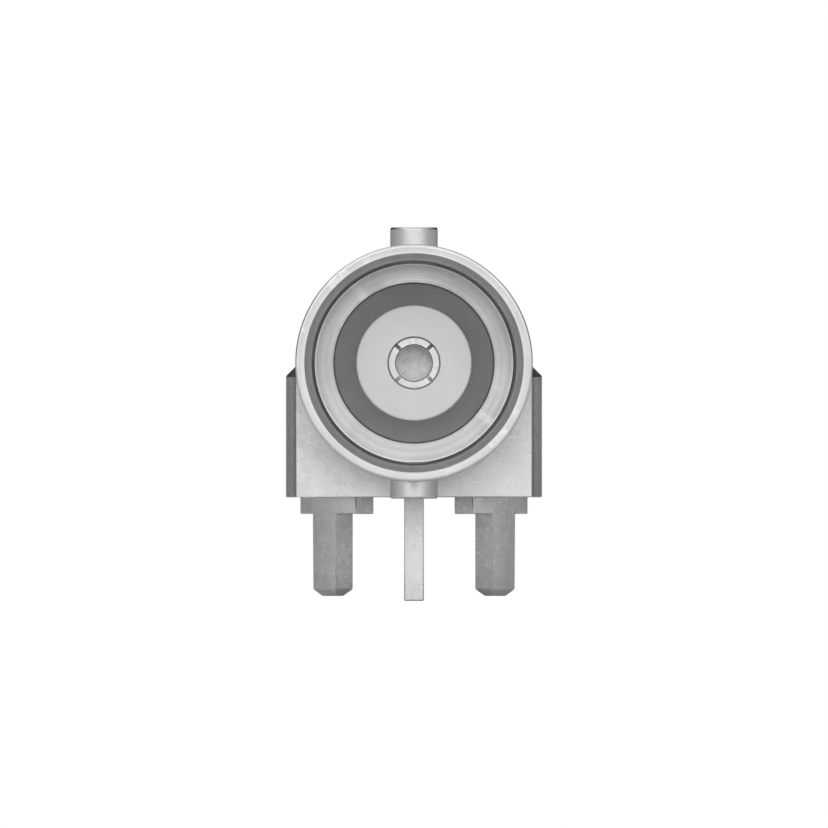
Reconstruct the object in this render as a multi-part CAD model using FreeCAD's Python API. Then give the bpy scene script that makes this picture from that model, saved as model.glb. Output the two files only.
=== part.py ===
import FreeCAD, Part
import math
import os

# Right-angle bayonet coaxial jack that is soldered to a circuit board.
# Millimetres. The origin lies on the board, midway between the four legs and under the coupling axis.
# +Z is up, and the mouth of the coupling barrel faces -Y.

# Seat on the board
axis_height = 6.13          # coupling axis above the board
standoff = 0.675            # height of the seat pads under the body
pad_width = 3.2
pad_depth = 1.3             # towards the solder pin, from the round of the back
leg_width = 1.3
leg_depth = 1.06            # towards the solder pin, from the round of the back
leg_length = 3.33           # below the board's surface
leg_chamfer = 0.27
leg_count = 4
first_leg_angle = 45.0      # degrees round the solder pin from +Y

# Body
back_radius = 5.2           # round back, whose line the pads and legs follow
front_reach = 5.2           # from the solder pin to the front face
yoke_half_width = 4.795
yoke_thickness = 3.3
taper_drop = 0.53           # the top taper starts this far below the coupling axis
taper_angle = 45.0
top_radius = 2.0            # flat on top of the taper
chamber_radius = 1.7        # crossing bores in which contact and pin meet
seat_land = 0.5             # metal between the barrel's seat and the crossing bore

# Coupling barrel
barrel_radius = 4.825
barrel_length = 11.0        # from the mouth to the body's front face
barrel_wall = 0.75
entry_relief = 0.09         # the entry is wider than the bore by this, on the radius
entry_depth = 1.9
lead_in_width = 0.285       # radial width of the lead-in at the mouth
lead_in_angle = 22.0        # to the coupling axis
shoulder_depth = 8.4        # from the mouth to the reference shoulder
spigot_radius = 3.7
spigot_chamfer = 0.3
edge_break = 0.05           # broken edge on turned metal

# Bayonet lugs
lug_radius = 0.965
lug_projection = 0.685      # beyond the barrel's outside
lug_depth = 5.2             # from the mouth to the lugs' centre line

# Front insulator
flange_radius = 3.25
flange_thickness = 2.0
nose_radius = 2.35
nose_length = 5.23          # ahead of the reference shoulder
nose_edge = 0.06
stem_radius = 2.2

# Socket contact
contact_radius = 1.065
contact_recess = 0.25       # from the nose's face to the contact's tip
contact_length = 5.6        # thick front part, up to its shoulder
socket_radius = 0.75
socket_depth = 4.5
socket_mouth = 0.02         # chamfer at the socket's mouth
slot_count = 4
slot_width = 0.15
slot_length = 3.9
barb_height = 0.15          # above the tail, behind the insulator's stem
barb_length = 0.35
fork_wall = 0.28            # each arm of the fork that grips the solder pin
fork_overhang = 0.5         # past the solder pin

# Solder pin
pin_width = 0.8
pin_length = 3.53           # below the board's surface
pin_overhang = 0.15         # above the contact's tail

# Base insulator
base_ledge = 0.4            # its foot is wider than the crossing bore by this, on the radius
base_foot = 1.2             # thickness of the foot
base_gap = 0.75             # from its top to the crossing bore
base_recess = 0.1           # above the body's underside

# Top cap
cap_rim = 0.4               # metal left round the cap
cap_ledge = 0.4             # metal that the cap rests on
cap_thickness = 0.4
cap_edge = 0.1

# Clearances
insulator_clearance = 0.01  # insulators in metal, on the radius
contact_clearance = 0.01    # contact in its insulator, on the radius
pin_clearance = 0.02        # each side of the solder pin

# Worked out from the sizes above
mouth_y = -(front_reach + barrel_length)
bore_radius = barrel_radius - barrel_wall
entry_radius = bore_radius + entry_relief
mouth_radius = entry_radius + lead_in_width
lead_in_slope = math.tan(math.radians(lead_in_angle))
taper_start = axis_height - taper_drop
top_height = taper_start + (back_radius - top_radius) / math.tan(math.radians(taper_angle))
cap_radius = top_radius - cap_rim
pin_half = pin_width / 2
tail_radius = pin_half + pin_clearance + fork_wall
pin_depth = front_reach + barrel_length
stem_end = pin_depth - chamber_radius - seat_land
nose_face = shoulder_depth - nose_length
contact_tip = nose_face + contact_recess
contact_shoulder = contact_tip + contact_length
tail_end = pin_depth + pin_half + pin_clearance + fork_overhang
base_bottom = standoff + base_recess
base_top = axis_height - chamber_radius - base_gap
base_seat_radius = chamber_radius + base_ledge

UP = FreeCAD.Vector(0, 0, 1)
BACK = FreeCAD.Vector(0, 1, 0)


def on_axis(depth):
    """Point on the coupling axis at a distance behind the mouth."""
    return FreeCAD.Vector(0, mouth_y + depth, axis_height)


def bore_along_axis(radius, start, end):
    """Cylinder on the coupling axis between two distances behind the mouth."""
    return Part.makeCylinder(radius, end - start, on_axis(start), BACK)


def bore_upright(radius, bottom, top):
    """Cylinder on the solder pin's axis between two heights."""
    return Part.makeCylinder(radius, top - bottom, FreeCAD.Vector(0, 0, bottom), UP)


def turned_on_axis(profile):
    """Solid turned on the coupling axis from pairs of distance behind the mouth and radius."""
    points = [on_axis(depth) + UP * radius for depth, radius in profile]
    section = Part.Face(Part.makePolygon(points + points[:1]))
    return section.revolve(on_axis(0), BACK, 360)


def turned_upright(profile):
    """Solid turned on the solder pin's axis from pairs of radius and height."""
    points = [FreeCAD.Vector(radius, 0, height) for radius, height in profile]
    section = Part.Face(Part.makePolygon(points + points[:1]))
    return section.revolve(FreeCAD.Vector(0, 0, 0), UP, 360)


def block(half_x, front, back, bottom, top):
    """Box centred on the plane of symmetry."""
    corner = FreeCAD.Vector(-half_x, front, bottom)
    return Part.makeBox(2 * half_x, back - front, top - bottom, corner)


def round_back():
    """Back of the body: a round boss with a tapered top, cut off flat inside the yoke."""
    boss = turned_upright([
        (0, standoff),
        (back_radius, standoff),
        (back_radius, taper_start),
        (top_radius, top_height),
        (0, top_height),
    ])
    middle_of_yoke = yoke_thickness / 2 - front_reach
    return boss.common(block(back_radius, middle_of_yoke, back_radius, standoff, top_height))


def yoke():
    """Front of the body: a flat-sided block with an arched top, concentric with the barrel."""
    front = -front_reach
    foot_left = FreeCAD.Vector(-yoke_half_width, front, standoff)
    foot_right = FreeCAD.Vector(yoke_half_width, front, standoff)
    arch_left = FreeCAD.Vector(-yoke_half_width, front, axis_height)
    arch_right = FreeCAD.Vector(yoke_half_width, front, axis_height)
    crown = FreeCAD.Vector(0, front, axis_height + yoke_half_width)
    outline = Part.Wire([
        Part.makeLine(foot_left, foot_right),
        Part.makeLine(foot_right, arch_right),
        Part.Arc(arch_right, crown, arch_left).toShape(),
        Part.makeLine(arch_left, foot_left),
    ])
    return Part.Face(outline).extrude(BACK * yoke_thickness)


def foot():
    """Seat pad and solder leg, both cut to the round of the back. They point along +Y."""
    round_of_back = bore_upright(back_radius, -leg_length, standoff)
    pad = block(pad_width / 2, back_radius - pad_depth, back_radius, 0, standoff)
    leg = block(leg_width / 2, back_radius - leg_depth, back_radius, -leg_length, standoff)
    leg = leg.common(round_of_back)
    tip_edges = [edge for edge in leg.Edges if edge.CenterOfMass.z < -leg_length + leg_chamfer / 2]
    leg = leg.makeChamfer(leg_chamfer, tip_edges)
    return pad.common(round_of_back).fuse(leg).removeSplitter()


def body_bores():
    """Hollow of the body: the barrel's seat, the crossing bores, and the seats of base insulator and cap."""
    chamber_top = axis_height + chamber_radius
    hollows = [
        bore_along_axis(spigot_radius, barrel_length, stem_end),
        bore_along_axis(chamber_radius, stem_end, pin_depth),
        bore_upright(chamber_radius, standoff, chamber_top),
        bore_upright(base_seat_radius, standoff, base_bottom + base_foot),
        bore_upright(cap_radius - cap_ledge, chamber_top, top_height),
        bore_upright(cap_radius, top_height - cap_thickness, top_height),
    ]
    return hollows[0].multiFuse(hollows[1:])


def body():
    """Yoke, round back, pads and legs in one piece, bored for everything that it holds."""
    feet = []
    for number in range(leg_count):
        corner = foot()
        corner.rotate(FreeCAD.Vector(0, 0, 0), UP, first_leg_angle + number * 360 / leg_count)
        feet.append(corner)
    housing = round_back().fuse(yoke()).removeSplitter()
    return housing.cut(body_bores()).multiFuse(feet).removeSplitter()


def barrel():
    """Coupling barrel: lead-in, entry, bore, reference shoulder, insulator seat and spigot."""
    entry_end = entry_depth + entry_relief / lead_in_slope
    seat_end = shoulder_depth + flange_thickness
    solid = turned_on_axis([
        (0, mouth_radius),
        (0, barrel_radius - edge_break),
        (edge_break, barrel_radius),
        (barrel_length, barrel_radius),
        (barrel_length, spigot_radius),
        (stem_end - spigot_chamfer, spigot_radius),
        (stem_end, spigot_radius - spigot_chamfer),
        (stem_end, stem_radius),
        (seat_end, stem_radius),
        (seat_end, flange_radius),
        (shoulder_depth, flange_radius),
        (shoulder_depth, bore_radius),
        (entry_end, bore_radius),
        (entry_depth, entry_radius),
        (lead_in_width / lead_in_slope, entry_radius),
    ])
    return solid.cut([lug_rod(1), lug_rod(-1)])


def lug_rod(side):
    """Rod from the coupling axis up or down to the tip of a lug."""
    return Part.makeCylinder(lug_radius, barrel_radius + lug_projection, on_axis(lug_depth), UP * side)


def bayonet_lug(side):
    """Lug pressed through the barrel's wall, up or down, with its inner end bored flush with the barrel."""
    lug = lug_rod(side)
    tip = [edge for edge in lug.Edges if abs(edge.CenterOfMass.z - axis_height) > barrel_radius]
    lug = lug.makeChamfer(edge_break, tip)
    return lug.cut(bore_along_axis(bore_radius, lug_depth - lug_radius, lug_depth + lug_radius))


def front_insulator():
    """Nose round the contact, flange in the barrel's seat and stem through the spigot."""
    contact_hole = contact_radius + contact_clearance
    tail_hole = tail_radius + contact_clearance
    flange = flange_radius - insulator_clearance
    stem = stem_radius - insulator_clearance
    return turned_on_axis([
        (nose_face, contact_hole),
        (nose_face, nose_radius - nose_edge),
        (nose_face + nose_edge, nose_radius),
        (shoulder_depth, nose_radius),
        (shoulder_depth, flange),
        (shoulder_depth + flange_thickness, flange),
        (shoulder_depth + flange_thickness, stem),
        (stem_end, stem),
        (stem_end, tail_hole),
        (contact_shoulder, tail_hole),
        (contact_shoulder, contact_hole),
    ])


def contact_slots():
    """Slots that part the front of the socket contact into fingers."""
    slots = []
    for number in range(slot_count):
        corner = on_axis(contact_tip) + FreeCAD.Vector(-slot_width / 2, 0, 0)
        slot = Part.makeBox(slot_width, slot_length, 2 * contact_radius, corner)
        slot.rotate(on_axis(0), BACK, (number + 0.5) * 360 / slot_count)
        slots.append(slot)
    return slots


def socket_contact():
    """Slotted socket, tail through the insulator with its barb, and the fork round the solder pin."""
    blank = turned_on_axis([
        (contact_tip, socket_radius + socket_mouth),
        (contact_tip, contact_radius - edge_break / 2),
        (contact_tip + edge_break / 2, contact_radius),
        (contact_shoulder, contact_radius),
        (contact_shoulder, tail_radius),
        (stem_end, tail_radius),
        (stem_end, tail_radius + barb_height),
        (stem_end + barb_length, tail_radius),
        (tail_end, tail_radius),
        (tail_end, 0),
        (contact_tip + socket_depth, 0),
        (contact_tip + socket_depth, socket_radius),
        (contact_tip + socket_mouth, socket_radius),
    ])
    fork = block(
        pin_half + pin_clearance,
        -pin_half - pin_clearance,
        mouth_y + tail_end,
        axis_height - tail_radius,
        axis_height + tail_radius,
    )
    return blank.cut(contact_slots() + [fork])


def solder_pin():
    """Square pin from the contact's fork down through the board."""
    return block(pin_half, -pin_half, pin_half, -pin_length, axis_height + tail_radius + pin_overhang)


def base_insulator():
    """Stepped plug that closes the underside round the solder pin."""
    foot_radius = base_seat_radius - insulator_clearance
    neck_radius = chamber_radius - insulator_clearance
    plug = turned_upright([
        (0, base_bottom),
        (foot_radius, base_bottom),
        (foot_radius, base_bottom + base_foot),
        (neck_radius, base_bottom + base_foot),
        (neck_radius, base_top),
        (0, base_top),
    ])
    half = pin_half + pin_clearance
    return plug.cut(block(half, -half, half, base_bottom, base_top))


def top_cap():
    """Disc pressed into the top, over the hole through which contact and pin are soldered."""
    return turned_upright([
        (0, top_height - cap_thickness),
        (cap_radius, top_height - cap_thickness),
        (cap_radius, top_height - cap_edge),
        (cap_radius - cap_edge, top_height),
        (0, top_height),
    ])


pieces = {
    "body": body(),
    "barrel": barrel(),
    "bayonet_lug_top": bayonet_lug(1),
    "bayonet_lug_bottom": bayonet_lug(-1),
    "front_insulator": front_insulator(),
    "socket_contact": socket_contact(),
    "solder_pin": solder_pin(),
    "base_insulator": base_insulator(),
    "top_cap": top_cap(),
}

os.makedirs("parts", exist_ok=True)
for name, shape in pieces.items():
    shape.exportStep(os.path.join("parts", name + ".step"))
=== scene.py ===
import math

import bmesh
import bpy
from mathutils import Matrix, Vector


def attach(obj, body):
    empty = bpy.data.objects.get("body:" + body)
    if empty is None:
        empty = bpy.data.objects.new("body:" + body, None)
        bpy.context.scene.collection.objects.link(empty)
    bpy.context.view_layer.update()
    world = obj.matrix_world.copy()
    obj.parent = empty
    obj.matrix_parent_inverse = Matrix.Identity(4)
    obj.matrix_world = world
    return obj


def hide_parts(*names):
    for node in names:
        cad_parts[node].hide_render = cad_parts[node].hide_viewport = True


# Looks of a right-angle bayonet coaxial jack. Sizes are millimetres where nothing else is said.
# The origin lies on the board, +Z is up, and the mouth of the barrel faces -Y.

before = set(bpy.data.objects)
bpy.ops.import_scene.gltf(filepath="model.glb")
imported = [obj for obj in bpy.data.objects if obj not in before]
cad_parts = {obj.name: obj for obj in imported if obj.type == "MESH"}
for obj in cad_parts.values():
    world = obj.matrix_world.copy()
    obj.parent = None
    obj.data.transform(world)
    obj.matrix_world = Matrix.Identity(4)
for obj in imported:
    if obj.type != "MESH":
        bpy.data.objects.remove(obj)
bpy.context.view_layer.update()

MM = 0.001

# Sizes shared with the solids. Depths are measured from the barrel's mouth, and heights from the board.
AXIS_HEIGHT = 6.13
MOUTH_Y = -16.2
BARREL_RADIUS = 4.825
BARREL_DEPTH = 11.0
LEAD_IN_RADIUS = 4.45
LEAD_IN_DEPTH = 0.705
ENTRY_RADIUS = 4.165
ENTRY_DEPTH = 1.9
BORE_RADIUS = 4.075
BORE_DEPTH = 2.123          # where the step from the entry ends
SHOULDER_DEPTH = 8.4
SPIGOT_RADIUS = 3.7
SPIGOT_CHAMFER = 0.3
STEM_DEPTH = 14.0
LUG_DEPTH = 5.2
LUG_RADIUS = 0.965
LUG_TIP = 5.51              # from the coupling axis
LUG_HEEL = 4.07             # stands proud of the bore by a hair
NOSE_RADIUS = 2.35
NOSE_DEPTH = 3.17
FLANGE_RADIUS = 3.25
FLANGE_DEPTH = 10.4
STEM_RADIUS = 2.2
GAP = 0.01                  # round the insulator and the contact
CONTACT_RADIUS = 1.065
CONTACT_DEPTH = 3.42
CONTACT_SHOULDER = 9.02
SOCKET_RADIUS = 0.75
SOCKET_DEPTH = 7.92
SOCKET_CHAMFER = 0.02
SLOT_WIDTH = 0.15
SLOT_END = 7.32
BARB_RADIUS = 0.85
BARB_DEPTH = 14.35
TAIL_RADIUS = 0.70
TAIL_END = 17.12
FORK_DEPTH = 15.78
FORK_GAP = 0.42
CAP_RADIUS = 1.6
CAP_BOTTOM = 8.4
CAP_TOP = 8.8
SEAT_HEIGHT = 0.675         # underside of the body
FLOOR_HEIGHT = -3.53

# Reach of what lies hidden in the body
CHAMBER_REACH = 2.2         # round the solder pin, just beyond the bores
CHAMBER_COVER = 8.7         # height below which the cap hides the upper bore
SPIGOT_REACH = 3.75         # round the coupling axis, just beyond the spigot's seat

# Finish of the visible forms
SEGMENTS = 192              # round each turned form
LUG_SEGMENTS = 96
ARC_STEPS = 4               # along each rounded corner
TINY = 0.005                # corner radii
FINE = 0.03
MEDIUM = 0.06
SOFT = 0.09
BODY_EDGE = 0.05
PIN_EDGE = 0.05
PLUG_EDGE = 0.04
EDGE_STEPS = 3              # across each rounded edge of the machined stock
SHARP_ANGLE = math.radians(28)
FLAT_ANGLE = math.radians(0.6)

# Texture, as features in a millimetre
CLOUD = 0.5
WAXY_CLOUD = 0.9
HAZE = 3.2
WAXY_HAZE = 6.0
WAXY_RIPPLE = 4.0
RINGS = 5.5
WAXY_RINGS = 12.0
LINES = 30.0
GRAIN = 15.0

# View and light
VIEW_WIDTH = 33.63
VIEW_HEIGHT = 4.0585
CAMERA_Y = -200.0
FLOOR_RADIUS = 2.0          # metres
FRONT_LIGHT = 1.36
TOP_LIGHT = 0.8
EDGE_SHEEN = 0.38           # share of the light that plated metal keeps where it is seen edge-on
FLOOR_TONE = 0.61           # the floor as it renders, for what lies below its edge
LIGHT_AHEAD = [             # share of the front light from behind (0) over the sides (0.5) to ahead (1)
    (0.0, 0.04),
    (0.3, 0.05),
    (0.5, 0.14),
    (0.75, 0.40),
    (0.87, 0.80),
    (0.95, 1.12),
    (1.0, 1.20),
]


# Outlines

def slerp(first, last, share):
    """Unit vector between two unit vectors in the plane, turned by the shorter way."""
    angle = math.atan2(first.x * last.y - first.y * last.x, first.dot(last)) * share
    c, s = math.cos(angle), math.sin(angle)
    return Vector((first.x * c - first.y * s, first.x * s + first.y * c))


def rounded(corners, closed=True):
    """Outline of (u, v, normal u, normal v) with a small arc at each corner (u, v, radius)."""
    count = len(corners)
    area = sum(
        corners[i - 1][0] * corners[i][1] - corners[i][0] * corners[i - 1][1]
        for i in range(count)
    )
    side = 1.0 if area > 0 else -1.0
    outline = []
    for i, (u, v, radius) in enumerate(corners):
        here = Vector((u, v))
        before = Vector(corners[i - 1][:2]) - here
        after = Vector(corners[(i + 1) % count][:2]) - here
        room = 0.48 * min(before.length, after.length)
        before.normalize()
        after.normalize()
        normal_in = Vector((-before.y, before.x)) * side
        normal_out = Vector((after.y, -after.x)) * side
        if not closed and i in (0, count - 1) or not radius:
            normal = normal_out if i == 0 else normal_in
            outline.append((u, v, normal.x, normal.y))
            continue
        turn = before.angle(after)
        reach = min(radius / math.tan(turn / 2), room)
        arc_radius = reach * math.tan(turn / 2)
        centre = here + (before + after).normalized() * (arc_radius / math.sin(turn / 2))
        convex = (here + before * reach - centre).dot(normal_in) > 0
        for step in range(ARC_STEPS + 1):
            normal = slerp(normal_in, normal_out, step / ARC_STEPS)
            point = centre + normal * (arc_radius if convex else -arc_radius)
            outline.append((point.x, point.y, normal.x, normal.y))
    return outline


# Meshes

class Form:
    """Vertices in millimetres, and faces whose corners each have a normal of their own."""

    def __init__(self):
        self.points = []
        self.faces = []

    def point(self, place):
        self.points.append(Vector(place))
        return len(self.points) - 1

    def face(self, corners):
        """Adds a face from (point, normal) pairs, and turns it so that it looks the way its normals do."""
        places = [self.points[index] for index, _ in corners]
        facing = Vector()
        for i, place in enumerate(places):
            facing += places[i - 1].cross(place)
        meant = sum((normal for _, normal in corners), Vector())
        if facing.dot(meant) < 0:
            corners = corners[::-1]
        self.faces.append(corners)

    def finish(self, name, node, material):
        """Makes the piece that stands for a node."""
        mesh = bpy.data.meshes.new(name)
        places = [point * MM for point in self.points]
        mesh.from_pydata(places, [], [[index for index, _ in face] for face in self.faces])
        mesh.polygons.foreach_set("use_smooth", [True] * len(mesh.polygons))
        mesh.normals_split_custom_set([normal for face in self.faces for _, normal in face])
        mesh.materials.append(material)
        piece = bpy.data.objects.new(name, mesh)
        bpy.context.scene.collection.objects.link(piece)
        return stand_for(piece, node)


def stand_for(piece, node):
    """Rides the piece on the part, and shows it in place of the node."""
    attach(piece, "root")
    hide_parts(node)
    return piece


def along_axis(depth, radius, angle):
    """Place at a distance behind the mouth, turned round the coupling axis."""
    return Vector((radius * math.sin(angle), MOUTH_Y + depth, AXIS_HEIGHT + radius * math.cos(angle)))


def along_axis_normal(depth, radius, angle):
    return Vector((radius * math.sin(angle), depth, radius * math.cos(angle)))


def upright(radius, height, angle):
    """Place at a height, turned round the solder pin's axis."""
    return Vector((radius * math.cos(angle), radius * math.sin(angle), height))


def turn(form, outline, place, direct, closed=True):
    """Turns an outline all the way round. The ends of an open outline lie on the axis."""
    last = len(outline) - 1
    rings = []
    for i, (u, v, _, _) in enumerate(outline):
        if not closed and i in (0, last):
            rings.append([form.point(place(u, v, 0.0))] * SEGMENTS)
        else:
            rings.append([form.point(place(u, v, math.tau * k / SEGMENTS)) for k in range(SEGMENTS)])
    for i in range(last + 1 if closed else last):
        j = (i + 1) % (last + 1)
        for k in range(SEGMENTS):
            m = (k + 1) % SEGMENTS
            corners = []
            for ring, step in ((i, k), (i, m), (j, m), (j, k)):
                index = rings[ring][step]
                if index in [known for known, _ in corners]:
                    continue
                normal = direct(outline[ring][2], outline[ring][3], math.tau * step / SEGMENTS)
                corners.append((index, normal))
            if len(corners) > 2:
                form.face(corners)


def turned_on_axis(name, node, material, corners):
    form = Form()
    turn(form, rounded(corners), along_axis, along_axis_normal)
    return form.finish(name, node, material)


def turned_upright(name, node, material, corners):
    form = Form()
    turn(form, rounded(corners, closed=False), upright, upright, closed=False)
    return form.finish(name, node, material)


# Materials

def nodes_of(name):
    """New material, its node list, its links and its shader."""
    material = bpy.data.materials.new(name)
    material.use_nodes = True
    tree = material.node_tree
    shader = next(node for node in tree.nodes if node.type == "BSDF_PRINCIPLED")
    return material, tree, shader


def add(tree, kind, inputs=(), **settings):
    """New node with its settings, and its inputs set or linked by name or number."""
    node = tree.nodes.new(kind)
    for key, value in settings.items():
        setattr(node, key, value)
    for key, value in inputs:
        socket = node.inputs[key]
        if isinstance(value, bpy.types.NodeSocket):
            tree.links.new(value, socket)
        else:
            socket.default_value = value
    return node


def place_mm(tree):
    """Place on the part in millimetres."""
    here = add(tree, "ShaderNodeTexCoord").outputs["Object"]
    return add(tree, "ShaderNodeVectorMath", [(0, here), (3, 1000.0)], operation="SCALE").outputs[0]


def turning_path(tree, place):
    """Distance that a tool has moved over a turned form: along the coupling axis plus away from it."""
    axis = (0.0, 0.0, AXIS_HEIGHT)
    offset = add(tree, "ShaderNodeVectorMath", [(0, place), (1, axis)], operation="SUBTRACT").outputs[0]
    flat = (1.0, 0.0, 1.0)
    across = add(tree, "ShaderNodeVectorMath", [(0, offset), (1, flat)], operation="MULTIPLY").outputs[0]
    radius = add(tree, "ShaderNodeVectorMath", [(0, across)], operation="LENGTH").outputs["Value"]
    depth = add(tree, "ShaderNodeSeparateXYZ", [(0, place)]).outputs["Y"]
    return add(tree, "ShaderNodeMath", [(0, radius), (1, depth)], operation="ADD").outputs[0]


def ramp(tree, factor, low, high, at=(0.0, 1.0), smooth=True):
    """Maps a factor between two places to a value between low and high."""
    return add(
        tree, "ShaderNodeMapRange",
        [("Value", factor), ("From Min", at[0]), ("From Max", at[1]), ("To Min", low), ("To Max", high)],
        interpolation_type="SMOOTHSTEP" if smooth else "LINEAR",
    ).outputs["Result"]


def grey(tone):
    return (tone, tone, tone, 1.0)


def mixed(tree, factor, first, last):
    """Colour between two colours."""
    return add(
        tree, "ShaderNodeMix", [(0, factor), (6, first), (7, last)], data_type="RGBA",
    ).outputs[2]


def noise(tree, place, scale, detail=3.0, dimensions="3D"):
    key = "W" if dimensions == "1D" else "Vector"
    return add(
        tree, "ShaderNodeTexNoise", [(key, place), ("Scale", scale), ("Detail", detail)],
        noise_dimensions=dimensions,
    ).outputs["Fac"]


def bumped(tree, height, distance):
    """Normal of a surface that rises by up to a distance in millimetres."""
    inputs = [("Height", height), ("Distance", distance * MM), ("Strength", 1.0)]
    return add(tree, "ShaderNodeBump", inputs).outputs["Normal"]


def joined(tree, first, last, operation="ADD"):
    """Sum or product of two factors."""
    return add(tree, "ShaderNodeMath", [(0, first), (1, last)], operation=operation).outputs[0]


def toned(tone, share, warmth):
    """Metal colour of a share of the tone, a little warmer or cooler."""
    level = min(tone * share, 0.95)
    return (level * (1 + warmth), level, level * (1 - warmth), 1.0)


def metal(name, tone, rough, lines=0.0, grain=0.0, warmth=0.0):
    """Plated metal with tool lines or grain of a depth in millimetres, a tone that varies a little, and
    lighter convex edges that are partly rubbed wear and partly a painted highlight.
    """
    material, tree, shader = nodes_of(name)
    place = place_mm(tree)
    cloud = noise(tree, place, CLOUD, 4.0)
    haze = noise(tree, place, HAZE, 3.0)
    if lines:
        path = turning_path(tree, place)
        rings = noise(tree, path, RINGS, 3.0, "1D")
    patches = ramp(tree, joined(tree, cloud, rings if lines else haze), 0.0, 1.0, (0.7, 1.3))
    colour = mixed(tree, patches, toned(tone, 1.03, warmth), toned(tone, 0.90, 2 * warmth))
    # Convex edges, found by pointiness, are made lighter: partly rubbed wear, partly a painted highlight
    # along the rounded edges.
    edge = add(tree, "ShaderNodeNewGeometry").outputs["Pointiness"]
    edges = ramp(tree, edge, 0.0, 0.8, (0.51, 0.6))
    rubbed_and_highlit = joined(tree, edges, ramp(tree, haze, 0.4, 1.0, (0.35, 0.6)), "MULTIPLY")
    colour = mixed(tree, rubbed_and_highlit, colour, toned(tone, 1.15, warmth))
    tree.links.new(colour, shader.inputs["Base Color"])
    shader.inputs["Metallic"].default_value = 1.0
    shader.inputs["Specular Tint"].default_value = grey(EDGE_SHEEN)
    dulled = ramp(tree, joined(tree, cloud, haze), rough * 0.88, rough * 1.15, (0.7, 1.3))
    tree.links.new(dulled, shader.inputs["Roughness"])
    if lines:
        height = joined(tree, noise(tree, path, LINES, 1.0, "1D"), rings)
        tree.links.new(bumped(tree, height, lines), shader.inputs["Normal"])
    else:
        tree.links.new(bumped(tree, noise(tree, place, GRAIN, 3.0), grain), shader.inputs["Normal"])
    return material


def waxy(name, tone):
    """Turned fluoropolymer: off-white, slightly translucent, with faint tool lines."""
    material, tree, shader = nodes_of(name)
    place = place_mm(tree)
    patches = ramp(tree, noise(tree, place, WAXY_CLOUD, 4.0), 0.0, 0.8, (0.35, 0.7))
    light = (tone, tone, tone * 0.985, 1.0)
    shade = (tone * 0.95, tone * 0.95, tone * 0.925, 1.0)
    tree.links.new(mixed(tree, patches, light, shade), shader.inputs["Base Color"])
    dulled = ramp(tree, noise(tree, place, WAXY_HAZE), 0.34, 0.46, (0.3, 0.7))
    tree.links.new(dulled, shader.inputs["Roughness"])
    shader.inputs["Subsurface Weight"].default_value = 0.2
    shader.inputs["Subsurface Radius"].default_value = (1.0, 0.95, 0.9)
    shader.inputs["Subsurface Scale"].default_value = 0.25 * MM
    shader.inputs["IOR"].default_value = 1.38
    path = turning_path(tree, place)
    height = joined(tree, noise(tree, path, WAXY_RINGS, 2.0, "1D"), noise(tree, place, WAXY_RIPPLE, 3.0))
    tree.links.new(bumped(tree, height, 0.006), shader.inputs["Normal"])
    return material


plated_body = metal("plated_body_finish", 0.69, 0.28, grain=0.003)
plated_barrel = metal("plated_barrel_finish", 0.67, 0.22, lines=0.003)
plated_lugs = metal("plated_lugs_finish", 0.68, 0.25, grain=0.0015)
plated_contact = metal("plated_contact_finish", 0.65, 0.25, lines=0.0025, warmth=0.01)
plated_cap = metal("plated_cap_finish", 0.70, 0.27, grain=0.002)
tinned_pin = metal("tinned_pin_finish", 0.66, 0.27, grain=0.003)
insulator = waxy("insulator_finish", 0.88)


# Turned pieces

turned_on_axis("barrel_finish", "barrel", plated_barrel, [
    (0, LEAD_IN_RADIUS, FINE),
    (0, BARREL_RADIUS, SOFT),
    (BARREL_DEPTH, BARREL_RADIUS, FINE),
    (BARREL_DEPTH, SPIGOT_RADIUS, FINE),
    (STEM_DEPTH - SPIGOT_CHAMFER, SPIGOT_RADIUS, FINE),
    (STEM_DEPTH, SPIGOT_RADIUS - SPIGOT_CHAMFER, FINE),
    (STEM_DEPTH, STEM_RADIUS, FINE),
    (FLANGE_DEPTH, STEM_RADIUS, FINE),
    (FLANGE_DEPTH, FLANGE_RADIUS, FINE),
    (SHOULDER_DEPTH, FLANGE_RADIUS, FINE),
    (SHOULDER_DEPTH, BORE_RADIUS, MEDIUM),
    (BORE_DEPTH, BORE_RADIUS, FINE),
    (ENTRY_DEPTH, ENTRY_RADIUS, FINE),
    (LEAD_IN_DEPTH, ENTRY_RADIUS, FINE),
])

turned_on_axis("front_insulator_finish", "front_insulator", insulator, [
    (NOSE_DEPTH, CONTACT_RADIUS + GAP, FINE),
    (NOSE_DEPTH, NOSE_RADIUS, SOFT),
    (SHOULDER_DEPTH, NOSE_RADIUS, FINE),
    (SHOULDER_DEPTH, FLANGE_RADIUS - GAP, MEDIUM),
    (FLANGE_DEPTH, FLANGE_RADIUS - GAP, FINE),
    (FLANGE_DEPTH, STEM_RADIUS - GAP, FINE),
    (STEM_DEPTH, STEM_RADIUS - GAP, FINE),
    (STEM_DEPTH, TAIL_RADIUS + GAP, FINE),
    (CONTACT_SHOULDER, TAIL_RADIUS + GAP, FINE),
    (CONTACT_SHOULDER, CONTACT_RADIUS + GAP, FINE),
])

turned_upright("top_cap_finish", "top_cap", plated_cap, [
    (0, CAP_BOTTOM, 0),
    (CAP_RADIUS, CAP_BOTTOM, FINE),
    (CAP_RADIUS, CAP_TOP, SOFT),
    (0, CAP_TOP, 0),
])


# Bayonet lugs

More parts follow.
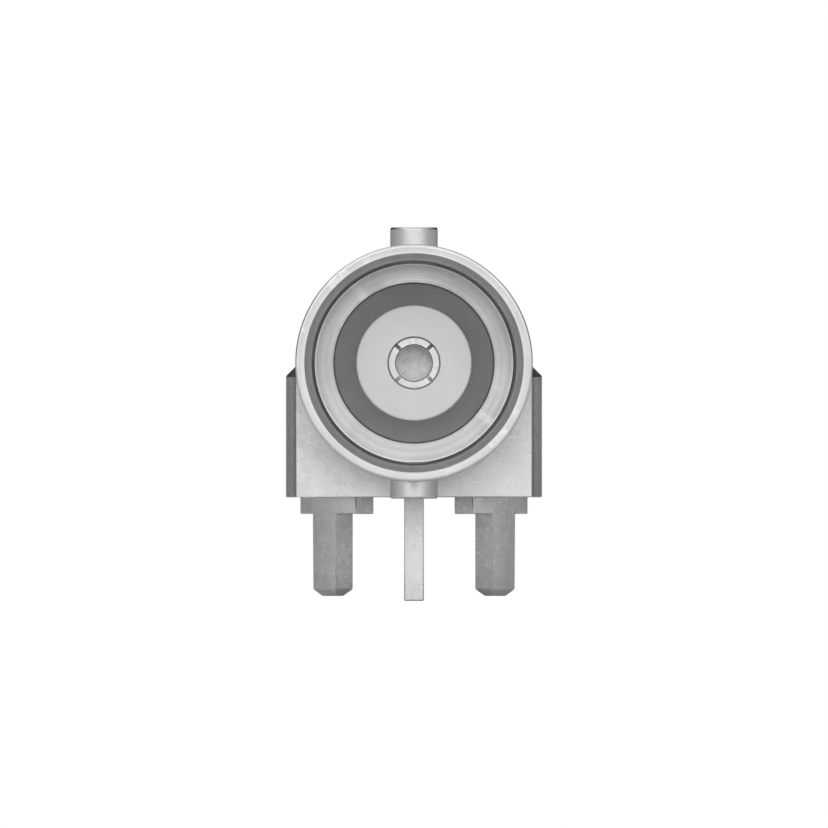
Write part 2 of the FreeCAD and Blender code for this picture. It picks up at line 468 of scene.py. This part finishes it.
def bayonet_lug(side, name, node):
    """Round lug whose inner end follows the barrel's bore, and whose outer edge is rounded."""
    form = Form()
    steps = LUG_SEGMENTS
    stations = [(LUG_RADIUS, None, 1.0, 0.0)]       # radius, height, and the normal's way out and up
    for step in range(ARC_STEPS + 2):
        angle = math.pi / 2 * step / (ARC_STEPS + 1)
        out, up = math.cos(angle), math.sin(angle)
        stations.append((LUG_RADIUS - SOFT + SOFT * out, LUG_TIP - SOFT + SOFT * up, out, up))
    stations += [(LUG_RADIUS * share, LUG_TIP, 0.0, 1.0) for share in (0.6, 0.3)]
    rings = []
    for radius, height, _, _ in stations:
        ring = []
        for k in range(steps):
            x = radius * math.sin(math.tau * k / steps)
            y = radius * math.cos(math.tau * k / steps)
            rise = height if height is not None else math.sqrt(LUG_HEEL ** 2 - x ** 2)
            ring.append(form.point((x, MOUTH_Y + LUG_DEPTH + y, AXIS_HEIGHT + side * rise)))
        rings.append(ring)
    tip = form.point((0, MOUTH_Y + LUG_DEPTH, AXIS_HEIGHT + side * LUG_TIP))
    heel = form.point((0, MOUTH_Y + LUG_DEPTH, AXIS_HEIGHT + side * LUG_HEEL))

    def normal(station, k):
        _, _, out, up = stations[station]
        angle = math.tau * k / steps
        return Vector((out * math.sin(angle), out * math.cos(angle), up * side))

    inward = Vector((0, 0, -side))
    outward = Vector((0, 0, side))
    for k in range(steps):
        m = (k + 1) % steps
        for i in range(len(stations) - 1):
            form.face([
                (rings[i][k], normal(i, k)),
                (rings[i][m], normal(i, m)),
                (rings[i + 1][m], normal(i + 1, m)),
                (rings[i + 1][k], normal(i + 1, k)),
            ])
        form.face([(rings[-1][k], outward), (rings[-1][m], outward), (tip, outward)])
        form.face([(rings[0][k], inward), (rings[0][m], inward), (heel, inward)])
    return form.finish(name, node, plated_lugs)


bayonet_lug(1, "bayonet_lug_top_finish", "bayonet_lug_top")
bayonet_lug(-1, "bayonet_lug_bottom_finish", "bayonet_lug_bottom")


# Socket contact

CONTACT_OUTLINE = [
    (SOCKET_DEPTH, 0, 0),
    (SOCKET_DEPTH, SOCKET_RADIUS, FINE),
    (SLOT_END, SOCKET_RADIUS, 0),
    (CONTACT_DEPTH + SOCKET_CHAMFER, SOCKET_RADIUS, TINY),
    (CONTACT_DEPTH, SOCKET_RADIUS + SOCKET_CHAMFER, TINY),
    (CONTACT_DEPTH, CONTACT_RADIUS, MEDIUM),
    (SLOT_END, CONTACT_RADIUS, 0),
    (CONTACT_SHOULDER, CONTACT_RADIUS, FINE),
    (CONTACT_SHOULDER, TAIL_RADIUS, FINE),
    (STEM_DEPTH, TAIL_RADIUS, FINE),
    (STEM_DEPTH, BARB_RADIUS, FINE),
    (BARB_DEPTH, TAIL_RADIUS, FINE),
    (FORK_DEPTH, TAIL_RADIUS, 0),
]


def finger_half(radius):
    """Half the angle of a finger between two slots with flat, parallel walls."""
    return math.pi / 4 - math.asin(SLOT_WIDTH / 2 / max(radius, SOCKET_RADIUS - FINE))


def contact_columns(steps=40, slot_steps=4):
    """Places round the contact, each with its finger and its share of the way across finger and slot."""
    fork_edge = math.asin(FORK_GAP / TAIL_RADIUS) / finger_half(TAIL_RADIUS)
    columns = []
    for number in range(4):
        shares = [2 * step / steps - 1 for step in range(steps + 1)]
        if number % 2 == 0:
            shares[1] = -fork_edge
            shares[-2] = fork_edge
        columns += [(number, share) for share in shares]
        columns += [(number, 1 + step / slot_steps) for step in range(1, slot_steps)]
    return columns


def column_angle(column, radius):
    number, share = column
    half = finger_half(radius)
    over_slot = max(share - 1, 0) * (math.pi / 2 - 2 * half)
    return math.tau * number / 4 + min(share, 1) * half + over_slot


def socket_contact():
    """Slotted socket, round tail with a barb, and a fork round the solder pin, in one closed form."""
    form = Form()
    outline = rounded(CONTACT_OUTLINE, closed=False)
    slot_inside = next(i for i, point in enumerate(outline) if point[:2] == (SLOT_END, SOCKET_RADIUS))
    slot_outside = next(i for i, point in enumerate(outline) if point[:2] == (SLOT_END, CONTACT_RADIUS))
    columns = contact_columns()
    count = len(columns)
    bottom = form.point(along_axis(outline[0][0], 0, 0))
    rows = []
    for column in columns:
        row = [bottom]
        for i, (depth, radius, _, _) in enumerate(outline[1:], 1):
            if column[1] > 1 and slot_inside < i < slot_outside:
                row.append(None)
            else:
                row.append(form.point(along_axis(depth, radius, column_angle(column, radius))))
        rows.append(row)

    def corner(c, i):
        _, radius, along, out = outline[i]
        return rows[c][i], along_axis_normal(along, out, column_angle(columns[c], radius))

    forward = Vector((0, -1, 0))
    for c in range(count):
        d = (c + 1) % count
        for i in range(len(outline) - 1):
            corners = [corner(c, i), corner(d, i), corner(d, i + 1), corner(c, i + 1)]
            if i == 0:
                corners = corners[1:]
            if not slot_inside <= i < slot_outside or columns[c][1] < 1:
                form.face(corners)
        if columns[c][1] >= 1:
            ends = (rows[c][slot_inside], rows[d][slot_inside], rows[d][slot_outside], rows[c][slot_outside])
            form.face([(index, forward) for index in ends])
        if abs(columns[c][1]) == 1:
            wall_angle = math.tau * columns[c][0] / 4 + columns[c][1] * math.pi / 4
            wall = along_axis_normal(0, columns[c][1], wall_angle + math.pi / 2)
            form.face([(index, wall) for index in rows[c][slot_inside:slot_outside + 1]])
    fork(form, columns, [row[-1] for row in rows])
    return form.finish("socket_contact_finish", "socket_contact", plated_contact)


def fork(form, columns, ring):
    """Two arms of the fork, on the ring of points where the round tail ends."""
    back = Vector((0, 1, 0))
    angles = [column_angle(column, TAIL_RADIUS) for column in columns]
    reach = [TAIL_RADIUS * math.sin(angle) for angle in angles]
    hair = 1e-6
    form.face([(index, back) for index, x in zip(ring, reach) if abs(x) < FORK_GAP + hair])
    for side in (1, -1):
        chosen = [c for c, x in enumerate(reach) if x * side > FORK_GAP - hair]
        first = next(c for c in chosen if (c - 1) % len(columns) not in chosen)
        arm = [c for c in chosen if c >= first] + [c for c in chosen if c < first]
        ends = [form.point(along_axis(TAIL_END, TAIL_RADIUS, angles[c])) for c in arm]
        for k in range(len(arm) - 1):
            normals = [along_axis_normal(0, 1, angles[arm[at]]) for at in (k, k + 1)]
            form.face([
                (ring[arm[k]], normals[0]),
                (ring[arm[k + 1]], normals[1]),
                (ends[k + 1], normals[1]),
                (ends[k], normals[0]),
            ])
        inward = Vector((-side, 0, 0))
        form.face([(index, inward) for index in (ring[arm[0]], ring[arm[-1]], ends[-1], ends[0])])
        form.face([(index, back) for index in ends])


socket_contact()


# Machined and moulded stock with rounded edges

def seam_underside(work):
    """Parts the flat underside of the body in lines clear of its corners."""
    for across in ((1, 0, 0), (1, 1, 0), (1, -1, 0)):
        under = [
            face for face in work.faces
            if face.normal.z < -0.999 and abs(face.calc_center_median().z / MM - SEAT_HEIGHT) < 0.001
        ]
        edges = {edge for face in under for edge in face.edges}
        ends = {end for face in under for end in face.verts}
        cut = bmesh.ops.bisect_plane(
            work, geom=list(ends) + list(edges) + under, dist=1e-7, plane_co=(0, 0, 0), plane_no=across,
        )
        for edge in cut["geom_cut"]:
            if isinstance(edge, bmesh.types.BMEdge):
                edge.seam = True


def out_of_sight(edge):
    """True for edges in the bores of the body, between the cap and the underside."""
    place = (edge.verts[0].co + edge.verts[1].co) / 2 / MM
    covered = SEAT_HEIGHT + FINE < place.z < CHAMBER_COVER
    in_chamber = math.hypot(place.x, place.y) < CHAMBER_REACH and covered
    in_seat = math.hypot(place.x, place.z - AXIS_HEIGHT) < SPIGOT_REACH and place.y < 0
    return in_chamber or in_seat


def smooth_normals(work, rounded_faces):
    """Normals of all corners: flat faces stay flat, and the rounded edges lead from one to the next."""
    work.normal_update()
    normals = []
    for face in work.faces:
        for loop in face.loops:
            around = loop.vert.link_faces
            plain = [other for other in around if other not in rounded_faces]
            if face in rounded_faces and plain:
                nearest = max(plain, key=lambda other: other.normal.dot(face.normal))
            elif face in rounded_faces:
                normals.append(sum((other.normal for other in around), Vector()).normalized())
                continue
            else:
                nearest = face
            alike = [other for other in plain if other.normal.angle(nearest.normal, 0) < SHARP_ANGLE]
            total = sum((other.normal * math.sqrt(other.calc_area()) for other in alike), Vector())
            normals.append(total.normalized())
    return normals


def softened(name, node, material, width):
    """Copy of a node's form with its sharp outer edges rounded."""
    work = bmesh.new()
    work.from_mesh(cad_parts[node].data)
    bmesh.ops.remove_doubles(work, verts=work.verts, dist=0.0005 * MM)
    if node == "body":
        seam_underside(work)
    bmesh.ops.dissolve_limit(
        work, angle_limit=FLAT_ANGLE, verts=work.verts, edges=work.edges, delimit={"SEAM"},
    )
    sharp = [
        edge for edge in work.edges
        if edge.calc_face_angle_signed(0) > SHARP_ANGLE and not (node == "body" and out_of_sight(edge))
    ]
    made = bmesh.ops.bevel(
        work, geom=sharp, offset=width * MM, offset_type="OFFSET", segments=EDGE_STEPS, profile=0.5,
        affect="EDGES", clamp_overlap=False, loop_slide=True, miter_outer="SHARP", miter_inner="SHARP",
    )
    rounded_faces = set(made["faces"])
    bmesh.ops.remove_doubles(work, verts=work.verts, dist=0.001 * MM)
    rounded_faces = {face for face in rounded_faces if face.is_valid}
    normals = smooth_normals(work, rounded_faces)
    mesh = bpy.data.meshes.new(name)
    work.to_mesh(mesh)
    work.free()
    mesh.polygons.foreach_set("use_smooth", [True] * len(mesh.polygons))
    mesh.normals_split_custom_set(normals)
    mesh.materials.append(material)
    piece = bpy.data.objects.new(name, mesh)
    bpy.context.scene.collection.objects.link(piece)
    return stand_for(piece, node)


softened("body_finish", "body", plated_body, BODY_EDGE)
softened("solder_pin_finish", "solder_pin", tinned_pin, PIN_EDGE)
softened("base_insulator_finish", "base_insulator", insulator, PLUG_EDGE)


# Floor, light and camera

def floor():
    mesh = bpy.data.meshes.new("floor")
    work = bmesh.new()
    bmesh.ops.create_circle(work, cap_ends=True, segments=64, radius=FLOOR_RADIUS)
    work.to_mesh(mesh)
    work.free()
    piece = bpy.data.objects.new("floor", mesh)
    piece.location.z = FLOOR_HEIGHT * MM
    material, tree, shader = nodes_of("floor_paper")
    shader.inputs["Base Color"].default_value = (0.86, 0.86, 0.85, 1.0)
    shader.inputs["Roughness"].default_value = 0.9
    mesh.materials.append(material)
    bpy.context.scene.collection.objects.link(piece)


def studio():
    """Soft studio: bright ahead, less above, darker at the sides and behind, white at the horizon."""
    world = bpy.data.worlds.new("studio")
    bpy.context.scene.world = world
    world.use_nodes = True
    tree = world.node_tree
    background = next(node for node in tree.nodes if node.type == "BACKGROUND")
    way = add(tree, "ShaderNodeTexCoord").outputs["Generated"]
    parts = add(tree, "ShaderNodeSeparateXYZ", [(0, way)])
    ahead = ramp(tree, parts.outputs["Y"], 1.0, 0.0, (-1.0, 1.0), smooth=False)
    round_about = add(tree, "ShaderNodeValToRGB", [("Fac", ahead)])
    stops = round_about.color_ramp.elements
    for place, share in LIGHT_AHEAD[1:-1]:
        stops.new(place)
    for stop, (place, share) in zip(stops, LIGHT_AHEAD):
        stop.position = place
        stop.color = (share, share, share, 1.0)
    scaled = [(0, round_about.outputs["Color"]), (3, FRONT_LIGHT)]
    level = add(tree, "ShaderNodeVectorMath", scaled, operation="SCALE").outputs[0]
    up = parts.outputs["Z"]
    level = mixed(tree, ramp(tree, up, 0.0, 1.0, (0.35, 0.95)), level, grey(TOP_LIGHT))
    level = mixed(tree, ramp(tree, up, 1.0, 0.0, (0.004, 0.02)), level, grey(1.0))
    level = mixed(tree, ramp(tree, up, 0.0, 1.0, (-0.004, -0.02)), level, grey(FLOOR_TONE))
    tree.links.new(level, background.inputs["Color"])
    background.inputs["Strength"].default_value = 1.0


def soft_lamp(name, place, size, power):
    """Round soft lamp that looks at the part."""
    data = bpy.data.lights.new(name, "AREA")
    data.shape = "DISK"
    data.size = size * MM
    data.energy = power
    lamp = bpy.data.objects.new(name, data)
    lamp.location = Vector(place) * MM
    aim = Vector((0, -5, 4)) * MM - lamp.location
    lamp.rotation_euler = aim.to_track_quat("-Z", "Y").to_euler()
    bpy.context.scene.collection.objects.link(lamp)


def camera():
    data = bpy.data.cameras.new("camera")
    data.type = "ORTHO"
    data.ortho_scale = VIEW_WIDTH * MM
    data.clip_start = 0.001
    data.clip_end = 10.0
    eye = bpy.data.objects.new("camera", data)
    eye.location = (0, CAMERA_Y * MM, VIEW_HEIGHT * MM)
    eye.rotation_euler = (math.radians(90), 0, 0)
    bpy.context.scene.collection.objects.link(eye)
    bpy.context.scene.camera = eye


floor()
studio()
soft_lamp("key", (-170, -150, 230), 140, 0.04)
soft_lamp("top", (-60, 40, 300), 240, 0.05)
camera()
bpy.context.scene.view_settings.view_transform = "Standard"
